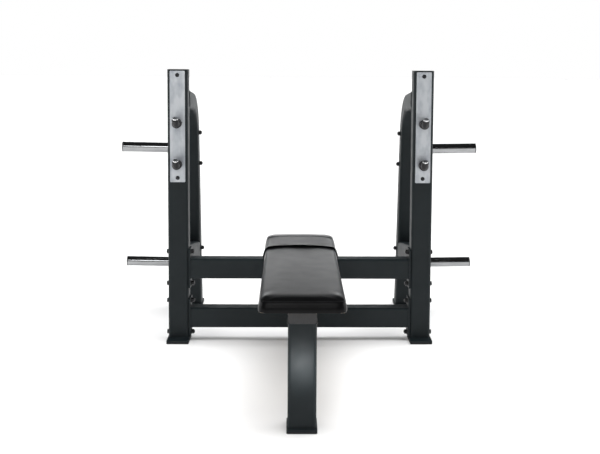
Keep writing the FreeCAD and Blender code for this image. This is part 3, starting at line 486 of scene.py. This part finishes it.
def sleeve_profile(long):
    """Distance along the peg and radius: flared root, shallow ribs, rolled shoulder, boot, then the bore."""
    outer = DRUM_RADIUS
    profile = [(0.0, BOOT_BORE), (0.0, outer), (0.003, outer), (0.0048, outer - 0.0012)]
    ribs = 5
    first = 0.009
    pitch = (long - 0.018) / ribs
    for rib in range(ribs):
        start = first + rib * pitch
        profile += [(start, outer - 0.0014), (start + pitch * 0.22, outer - 0.0004),
                    (start + pitch * 0.62, outer - 0.0004), (start + pitch * 0.84, outer - 0.0014)]
    profile += [(long - 0.0082, outer - 0.0012), (long - 0.0066, outer)]
    for step in range(1, 5):
        turn = math.radians(90 * step / 4)
        profile.append((long - 0.003 + 0.003 * math.sin(turn), outer - 0.003 * (1 - math.cos(turn))))
    end = CATCH_STRAIGHT + CATCH_BEND * CATCH_TURN + BOOT_TIP
    profile += [(long, BOOT_RADIUS + 0.0006), (long + 0.0008, BOOT_RADIUS)]
    profile += [(long + 0.0008 + (end - 0.004 - long) * step / 12, BOOT_RADIUS) for step in range(1, 13)]
    profile += [(end - 0.0018, BOOT_RADIUS - 0.0003), (end - 0.0004, BOOT_RADIUS - 0.0012)]
    profile += [(end, BOOT_RADIUS - 0.0022)]
    profile += [(end * (1 - step / 16), BOOT_BORE) for step in range(17)]
    return profile


def peg_line(travel):
    """Point on the peg's centre line and its heading, out from the guard plate."""
    past = min(max(travel - CATCH_STRAIGHT, 0.0), CATCH_BEND * CATCH_TURN)
    turn = past / CATCH_BEND
    beyond = max(travel - CATCH_STRAIGHT - CATCH_BEND * CATCH_TURN, 0.0)
    heading = Vector((0, -math.cos(turn), math.sin(turn)))
    out = min(travel, CATCH_STRAIGHT) + CATCH_BEND * math.sin(turn)
    return Vector((0, -out, CATCH_BEND * (1 - math.cos(turn)))) + heading * beyond, heading


def make_sleeves():
    """Moulded rubber sleeves on the catch pegs, each running on as a boot round the bend."""
    shape = bmesh.new()
    around = 40
    for side in ("left", "right"):
        for which in ("upper", "lower"):
            catch_low, catch_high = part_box("%s_%s_bar_catch" % (side, which))
            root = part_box(side + "_guard_plate")[0].y
            centre = Vector(((catch_low.x + catch_high.x) / 2, root, catch_low.z + CATCH_RADIUS))
            rings = []
            for travel, radius in sleeve_profile(DRUM_LONG):
                spot, heading = peg_line(travel)
                up = Vector((0, heading.z, -heading.y))
                rings.append([shape.verts.new(centre + spot + Vector((radius * math.cos(turn), 0, 0))
                                              + up * radius * math.sin(turn))
                              for turn in (2 * math.pi * step / around for step in range(around))])
            for near, far in zip(rings, rings[1:]):
                for step in range(around):
                    following = (step + 1) % around
                    shape.faces.new((near[step], near[following], far[following], far[step]))
    bmesh.ops.remove_doubles(shape, verts=shape.verts, dist=1e-6)
    bmesh.ops.recalc_face_normals(shape, faces=shape.faces)
    sleeves = piece_from(shape, "ribbed_catch_sleeves", "catch_rubber")
    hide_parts("bar_catch_sleeves")


# ---------------------------------------------------------------- pad upholstery

def pad_start_shape():
    """Closed block a little inside the pad's own size, rounded on top and run on below to be cut off flat."""
    wide = PAD_HIGH.x - PAD_LOW.x - 2 * PAD_START
    long = PAD_HIGH.y - PAD_LOW.y - 2 * PAD_START
    top = PAD_HIGH.z - PAD_START
    bottom = PAD_LOW.z - 0.004
    corner = PAD_CORNER - PAD_START
    middle = (PAD_LOW + PAD_HIGH) / 2
    steps = [(-0.001, bottom), (-0.001, bottom + 0.028)]
    for step in range(7):
        turn = math.radians(90 * step / 6)
        steps.append((PAD_EDGE * (1 - math.cos(turn)), top - PAD_EDGE + PAD_EDGE * math.sin(turn)))
    shape = bmesh.new()
    rings = []
    for inset, level in steps:
        outline = rounded_outline(wide - 2 * inset, long - 2 * inset, corner - inset * 0.8)
        rings.append([shape.verts.new((middle.x + x, middle.y + y, level)) for x, y in outline])
    count = len(rings[0])
    for near, far in zip(rings, rings[1:]):
        for step in range(count):
            following = (step + 1) % count
            shape.faces.new((near[step], near[following], far[following], far[step]))
    shape.faces.new(list(reversed(rings[0])))
    shape.faces.new(rings[-1])
    return shape


def modified(obj, kind, **settings):
    """Add a modifier with the settings given."""
    modifier = obj.modifiers.new(kind.title(), kind)
    for name, amount in settings.items():
        setattr(modifier, name, amount)
    return modifier


def take_shape(obj):
    """Write the modified mesh back and drop the modifiers."""
    shaped = bpy.data.meshes.new_from_object(obj.evaluated_get(bpy.context.evaluated_depsgraph_get()))
    obj.modifiers.clear()
    obj.data = shaped


def swell(obj):
    """Blow the upholstery up with cloth pressure, its lower edge held to the board."""
    held = obj.vertex_groups.new(name="held")
    held.add([point.index for point in obj.data.vertices if point.co.z < PAD_LOW.z + 0.010], 1.0, "REPLACE")
    rest = [point.co.copy() for point in obj.data.vertices]
    cloth = obj.modifiers.new("Cloth", "CLOTH")
    cloth.settings.quality = 4
    cloth.settings.mass = 0.25
    cloth.settings.tension_stiffness = 18
    cloth.settings.compression_stiffness = 18
    cloth.settings.shear_stiffness = 8
    cloth.settings.bending_stiffness = 2.5
    cloth.settings.use_pressure = True
    cloth.settings.uniform_pressure_force = 4.0
    cloth.settings.effector_weights.gravity = 0
    cloth.settings.vertex_group_mass = "held"
    cloth.collision_settings.use_collision = False
    cloth.point_cache.frame_start = 1
    cloth.point_cache.frame_end = 20
    for number in range(1, 21):
        bpy.context.scene.frame_set(number)
    take_shape(obj)
    for point, start in zip(obj.data.vertices, rest):
        move = point.co - start
        if move.length > PAD_CAP:
            move = move.normalized() * PAD_CAP
        free = min(1.0, max(0.0, (start.z - PAD_LOW.z - 0.010) / 0.016))
        point.co = start + move * free
    bpy.context.scene.frame_set(1)


def ease_top(obj):
    """Even out the capped swelling, flatten the underside and taper the pad towards its foot end."""
    upper = obj.vertex_groups.new(name="upper")
    upper.add([point.index for point in obj.data.vertices if point.co.z > PAD_LOW.z + 0.022], 1.0, "REPLACE")
    modified(obj, "SMOOTH", factor=0.5, iterations=14, vertex_group="upper")
    seat = obj.vertex_groups.new(name="seat")
    inside = [point.index for point in obj.data.vertices if point.co.z > PAD_HIGH.z - 0.006
              and abs(point.co.x) < PAD_HIGH.x - 0.03 and PAD_LOW.y + 0.03 < point.co.y < PAD_HIGH.y - 0.03]
    seat.add(inside, 1.0, "REPLACE")
    modified(obj, "SMOOTH", factor=0.5, iterations=50, vertex_group="seat")
    take_shape(obj)
    long = PAD_HIGH.y - PAD_LOW.y
    for point in obj.data.vertices:
        point.co.z = max(point.co.z, PAD_LOW.z + 0.0003)
        point.co.x *= 1 - PAD_TAPER * (PAD_HIGH.y - point.co.y) / long
        level = (point.co.z - PAD_LOW.z) / (PAD_HIGH.z - PAD_LOW.z)
        if level > 0.75:
            ripple = noise.noise(Vector((point.co.x * 7, point.co.y * 3.2, 0.4)))
            point.co.z += 0.0005 * ripple


def cut_loops(shape, spots, normal):
    """Add edge loops where planes cross the mesh."""
    for spot in spots:
        geometry = shape.verts[:] + shape.edges[:] + shape.faces[:]
        bmesh.ops.bisect_plane(shape, geom=geometry, dist=1e-6, plane_co=spot, plane_no=normal)


def pad_seam_level():
    """Height of the sewn seam round the pad's side."""
    return PAD_HIGH.z - SEAM_DROP


def press_pad_seam(shape):
    """Sewn seam between the top panel and the side band, all round the pad."""
    level = pad_seam_level()
    cut_loops(shape, [Vector((0, 0, level + step * SEAM_HALF)) for step in (-1, 0, 1)], Vector((0, 0, 1)))
    shape.normal_update()
    for point in shape.verts:
        away = abs(point.co.z - level)
        if away < 1e-5:
            flat = Vector((point.normal.x, point.normal.y, 0))
            point.co -= flat.normalized() * SEAM_DEEP
        elif point.co.z > level and away < SEAM_HALF + 1e-5:
            flat = Vector((point.normal.x, point.normal.y, 0))
            point.co += flat.normalized() * SEAM_DEEP * 0.35


def make_pad():
    """Foam pad in grained vinyl."""
    pad = piece_from(pad_start_shape(), "pad_upholstery", "pad_vinyl")
    modified(pad, "REMESH", mode="VOXEL", voxel_size=PAD_VOXEL, use_smooth_shade=True)
    take_shape(pad)
    swell(pad)
    ease_top(pad)
    modified(pad, "SUBSURF", levels=1, render_levels=1)
    take_shape(pad)
    shape = bmesh.new()
    shape.from_mesh(pad.data)
    press_pad_seam(shape)
    shape.to_mesh(pad.data)
    shape.free()
    pad.data.materials.clear()
    pad.data.materials.append(FINISHES["pad_vinyl"])
    pad.data.shade_smooth()
    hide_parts("pad_cushion")
    return pad


def surface_of(obj):
    """The object's faces as a tree for casting rays at."""
    return BVHTree.FromPolygons([point.co for point in obj.data.vertices],
                                [face.vertices[:] for face in obj.data.polygons])


def add_stitch(shape, centre, along, out, long=0.0042, thick=0.00045):
    """A short length of thread that dips into the vinyl at both ends."""
    rings = []
    for step in range(5):
        share = step / 4
        spot = centre + along * (share - 0.5) * long + out * thick * (1.6 * math.sin(math.pi * share) - 0.5)
        side = along.cross(out).normalized()
        rings.append([shape.verts.new(spot + (side * math.cos(turn) + out * math.sin(turn)) * thick)
                      for turn in (math.pi / 2.5 * count for count in range(5))])
    for near, far in zip(rings, rings[1:]):
        for step in range(5):
            following = (step + 1) % 5
            shape.faces.new((near[step], near[following], far[following], far[step]))
    shape.faces.new(list(reversed(rings[0])))
    shape.faces.new(rings[-1])


def make_pad_stitches(pad):
    """Top stitching just above the side seam, on the stretch that the head cover leaves open."""
    tree = surface_of(pad)
    middle = (PAD_LOW + PAD_HIGH) / 2
    level = pad_seam_level() + 0.0042
    outline = [Vector((middle.x + x, middle.y + y, level)) for x, y in
               rounded_outline(PAD_HIGH.x - PAD_LOW.x + 0.04, PAD_HIGH.y - PAD_LOW.y + 0.04, 0.044, 10)]
    spots = resampled(outline, STITCH_PITCH, True)
    shape = bmesh.new()
    for index, spot in enumerate(spots):
        if spot.y > COVER_LOW.y + 0.012:
            continue
        along = (spots[(index + 1) % len(spots)] - spots[index - 1]).normalized()
        inward = along.cross(Vector((0, 0, -1))).normalized()
        if inward.dot(middle - spot) < 0:
            inward = -inward
        hit, out, _, _ = tree.ray_cast(spot, inward)
        if hit:
            add_stitch(shape, hit, along, -inward if out.dot(inward) > 0 else out)
    stitches = piece_from(shape, "pad_stitches", "thread")


# ---------------------------------------------------------------- head cover

def cover_shape(pad):
    """The pad's own skin from the cover's front edge back, open underneath inside the lips."""
    shape = bmesh.new()
    shape.from_mesh(pad.data)
    front = COVER_LOW.y
    cut_loops(shape, [Vector((0, front, 0)), Vector((0, front + HEM_WIDE, 0)),
                      Vector((0, front + HEM_WIDE + 0.0012, 0)), Vector((0, front + 0.0045, 0))]
              + [Vector((0, COVER_HIGH.y - COVER_SEAM + step * 0.0022, 0)) for step in (-1, 0, 1)]
              + [Vector((0, COVER_HIGH.y - COVER_LIP, 0))], Vector((0, 1, 0)))
    inner = COVER_HIGH.x - COVER_LIP
    cut_loops(shape, [Vector((-inner, 0, 0)), Vector((inner, 0, 0))], Vector((1, 0, 0)))
    under = PAD_LOW.z + 0.002
    drop = []
    for face in shape.faces:
        centre = face.calc_center_median()
        ahead = centre.y < front
        open_below = centre.z < under and abs(centre.x) < inner and centre.y < COVER_HIGH.y - COVER_LIP
        if ahead or open_below:
            drop.append(face)
    bmesh.ops.delete(shape, geom=drop, context="FACES")
    return shape


def cover_lift(spot):
    """How far the cover stands off the pad: slack, a loose front edge, a hem, a cross seam, a crown."""
    ahead = spot.y - COVER_LOW.y
    slack = 0.0006 + 0.0006 * noise.noise(Vector((spot.x * 26, spot.y * 14, spot.z * 20)))
    side = min(1.0, max(0.0, (PAD_HIGH.z - spot.z) / 0.03))
    loose = math.exp(-ahead / 0.014) * (0.0012 + 0.0010 * side)
    loose += math.exp(-ahead / 0.03) * 0.0008 * math.sin(spot.x * 46 + 1.1)
    hem = 0.0009 if ahead < HEM_WIDE + 1e-5 else 0.0
    seam = abs(spot.y - (COVER_HIGH.y - COVER_SEAM))
    groove = -0.0012 if seam < 1e-5 else 0.0005 if seam < 0.0022 + 1e-5 else 0.0
    pucker = math.exp(-seam / 0.012) * 0.0004 * math.sin(spot.x * 300)
    on_top = max(0.0, min(1.0, (spot.z - PAD_HIGH.z + 0.014) / 0.01))
    crown = 0.0022 * on_top * (1 - (spot.x / COVER_HIGH.x) ** 2)
    return max(COVER_GAP * 0.4, COVER_GAP + slack + loose + hem + pucker + groove + crown)


def make_head_cover(pad):
    """Slip-on vinyl cover over the pad's head end."""
    shape = cover_shape(pad)
    shape.normal_update()
    under = PAD_LOW.z + 0.002
    for point in shape.verts:
        lift = 0.0007 if point.co.z < under else cover_lift(point.co)
        point.co += point.normal * lift
    cover = piece_from(shape, "head_cover_vinyl", "cover_vinyl", "head_cover")
    modified(cover, "SOLIDIFY", thickness=COVER_SKIN, offset=1.0, use_even_offset=False)
    take_shape(cover)
    cover.data.shade_smooth()
    cover.data.set_sharp_from_angle(angle=math.radians(60))
    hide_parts("head_cover")
    stitches = make_cover_stitches(cover)
    return cover


def make_cover_stitches(cover):
    """Rows of stitches along the hem and both sides of the cross seam."""
    tree = surface_of(cover)
    seam = COVER_HIGH.y - COVER_SEAM
    shape = bmesh.new()
    half = COVER_HIGH.x - 0.016
    count = int(2 * half / STITCH_PITCH)
    for row in (COVER_LOW.y + 0.0085, seam - 0.0048, seam + 0.0048):
        for step in range(count + 1):
            start = Vector((-half + 2 * half * step / count, row, COVER_HIGH.z + 0.05))
            hit, out, _, _ = tree.ray_cast(start, Vector((0, 0, -1)))
            if hit:
                add_stitch(shape, hit, Vector((1, 0, 0)), out)
    stitches = piece_from(shape, "cover_stitches", "thread", "head_cover")
    return stitches


# ---------------------------------------------------------------- stage, light and camera

def make_floor():
    """Plain pale floor."""
    shape = bmesh.new()
    bmesh.ops.create_grid(shape, x_segments=1, y_segments=1, size=60)
    mesh = bpy.data.meshes.new("floor")
    shape.to_mesh(mesh)
    shape.free()
    floor = bpy.data.objects.new("floor", mesh)
    floor.location.z = CAD_BOX[0].z - 0.0002
    bpy.context.scene.collection.objects.link(floor)
    pale = Finish("pale_floor", (0.86, 0.86, 0.86), 0.85, Specular_IOR_Level=0.1)
    pale.vary_colour(pale.noise(3, 3), (0.855, 0.855, 0.855), (0.865, 0.865, 0.865))
    mesh.materials.append(pale.material)


def make_world():
    """White low down at the sides and back, dark overhead and in front; plain white to the camera."""
    world = bpy.data.worlds.new("studio")
    bpy.context.scene.world = world
    world.use_nodes = True
    tree = world.node_tree
    tree.nodes.clear()

    def add(kind, **properties):
        made = tree.nodes.new(kind)
        for name, amount in properties.items():
            setattr(made, name, amount)
        return made

    def ramp(source, low, high, start, end):
        made = add("ShaderNodeMapRange", interpolation_type="SMOOTHSTEP")
        for name, amount in (("From Min", low), ("From Max", high), ("To Min", start), ("To Max", end)):
            made.inputs[name].default_value = amount
        tree.links.new(source, made.inputs["Value"])
        return made.outputs["Result"]

    place = add("ShaderNodeTexCoord")
    split = add("ShaderNodeSeparateXYZ")
    tree.links.new(place.outputs["Generated"], split.inputs["Vector"])
    behind = ramp(split.outputs["Y"], -0.92, -0.1, 0.16, 1.0)
    low = ramp(split.outputs["Z"], 0.14, 0.29, 0.95, 0.04)
    both = add("ShaderNodeMath", operation="MULTIPLY")
    tree.links.new(behind, both.inputs[0])
    tree.links.new(low, both.inputs[1])
    seen = add("ShaderNodeBackground")
    seen.inputs["Strength"].default_value = 1.0
    room = add("ShaderNodeBackground")
    tree.links.new(both.outputs["Value"], room.inputs["Strength"])
    room.inputs["Color"].default_value = (0.95, 0.98, 1.0, 1)
    seen.inputs["Color"].default_value = (1.0, 1.0, 1.0, 1)
    kind = add("ShaderNodeLightPath")
    mix = add("ShaderNodeMixShader")
    tree.links.new(kind.outputs["Is Camera Ray"], mix.inputs[0])
    tree.links.new(room.outputs[0], mix.inputs[1])
    tree.links.new(seen.outputs[0], mix.inputs[2])
    output = add("ShaderNodeOutputWorld")
    tree.links.new(mix.outputs[0], output.inputs["Surface"])


def area_light(name, place, aim, wide, tall, power, seen=True):
    """Rectangular lamp aimed at a point; one the camera doesn't see throws a narrower beam."""
    lamp = bpy.data.lights.new(name, "AREA")
    lamp.shape = "RECTANGLE"
    lamp.size = wide
    lamp.size_y = tall
    lamp.energy = power
    lamp.spread = math.radians(180 if seen else 60)
    obj = bpy.data.objects.new(name, lamp)
    obj.location = place
    obj.rotation_mode = "QUATERNION"
    obj.rotation_quaternion = (Vector(aim) - Vector(place)).to_track_quat("-Z", "Y")
    obj.visible_camera = seen
    bpy.context.scene.collection.objects.link(obj)


def make_lights():
    """Soft light from above, boxes in front, at the sides and low behind, and a glow on the front leg."""
    sun = bpy.data.lights.new("soft_sky", "SUN")
    sun.energy = 4.6
    sun.angle = math.radians(70)
    sky = bpy.data.objects.new("soft_sky", sun)
    sky.rotation_euler = (math.radians(-8), math.radians(6), 0)
    sky.visible_glossy = False
    bpy.context.scene.collection.objects.link(sky)
    area_light("front_box", (-0.6, -4.6, 2.9), (0, 0, 0.7), 2.4, 1.4, 60)
    area_light("left_box", (-4.2, -0.4, 1.6), (0, 0, 0.6), 1.6, 2.4, 45)
    area_light("right_box", (4.2, -0.4, 1.6), (0, 0, 0.6), 1.6, 2.4, 45)
    area_light("leg_glow", (0, -1.02, 0.225), (0, -0.80, 0.225), 0.04, 0.08, 0.10, False)
    area_light("back_box", (0, 4.0, 0.9), (0, 0, 0.47), 1.6, 0.6, 0.75, False)


def make_camera():
    """View from the foot end, a little above the pad and tipped down."""
    lens = bpy.data.cameras.new("camera")
    lens.sensor_width = 36
    lens.lens = 55.63
    lens.shift_x = -0.0149
    lens.shift_y = -0.15
    camera = bpy.data.objects.new("camera", lens)
    turned = Matrix.Rotation(math.radians(-1.049), 4, "Z")
    tipped = Matrix.Rotation(math.radians(90 - 4.748), 4, "X")
    camera.matrix_world = Matrix.Translation((-0.0382, -3.885, 1.2563)) @ turned @ tipped
    camera.matrix_world = camera.matrix_world @ Matrix.Rotation(math.radians(0.375), 4, "Z")
    bpy.context.scene.collection.objects.link(camera)
    bpy.context.scene.camera = camera


# ---------------------------------------------------------------- scene

bpy.context.scene.view_settings.view_transform = "Standard"
dress_cad_nodes()
make_welds()
make_sleeves()
upholstery = make_pad()
make_pad_stitches(upholstery)
make_head_cover(upholstery)
make_floor()
make_world()
make_lights()
make_camera()
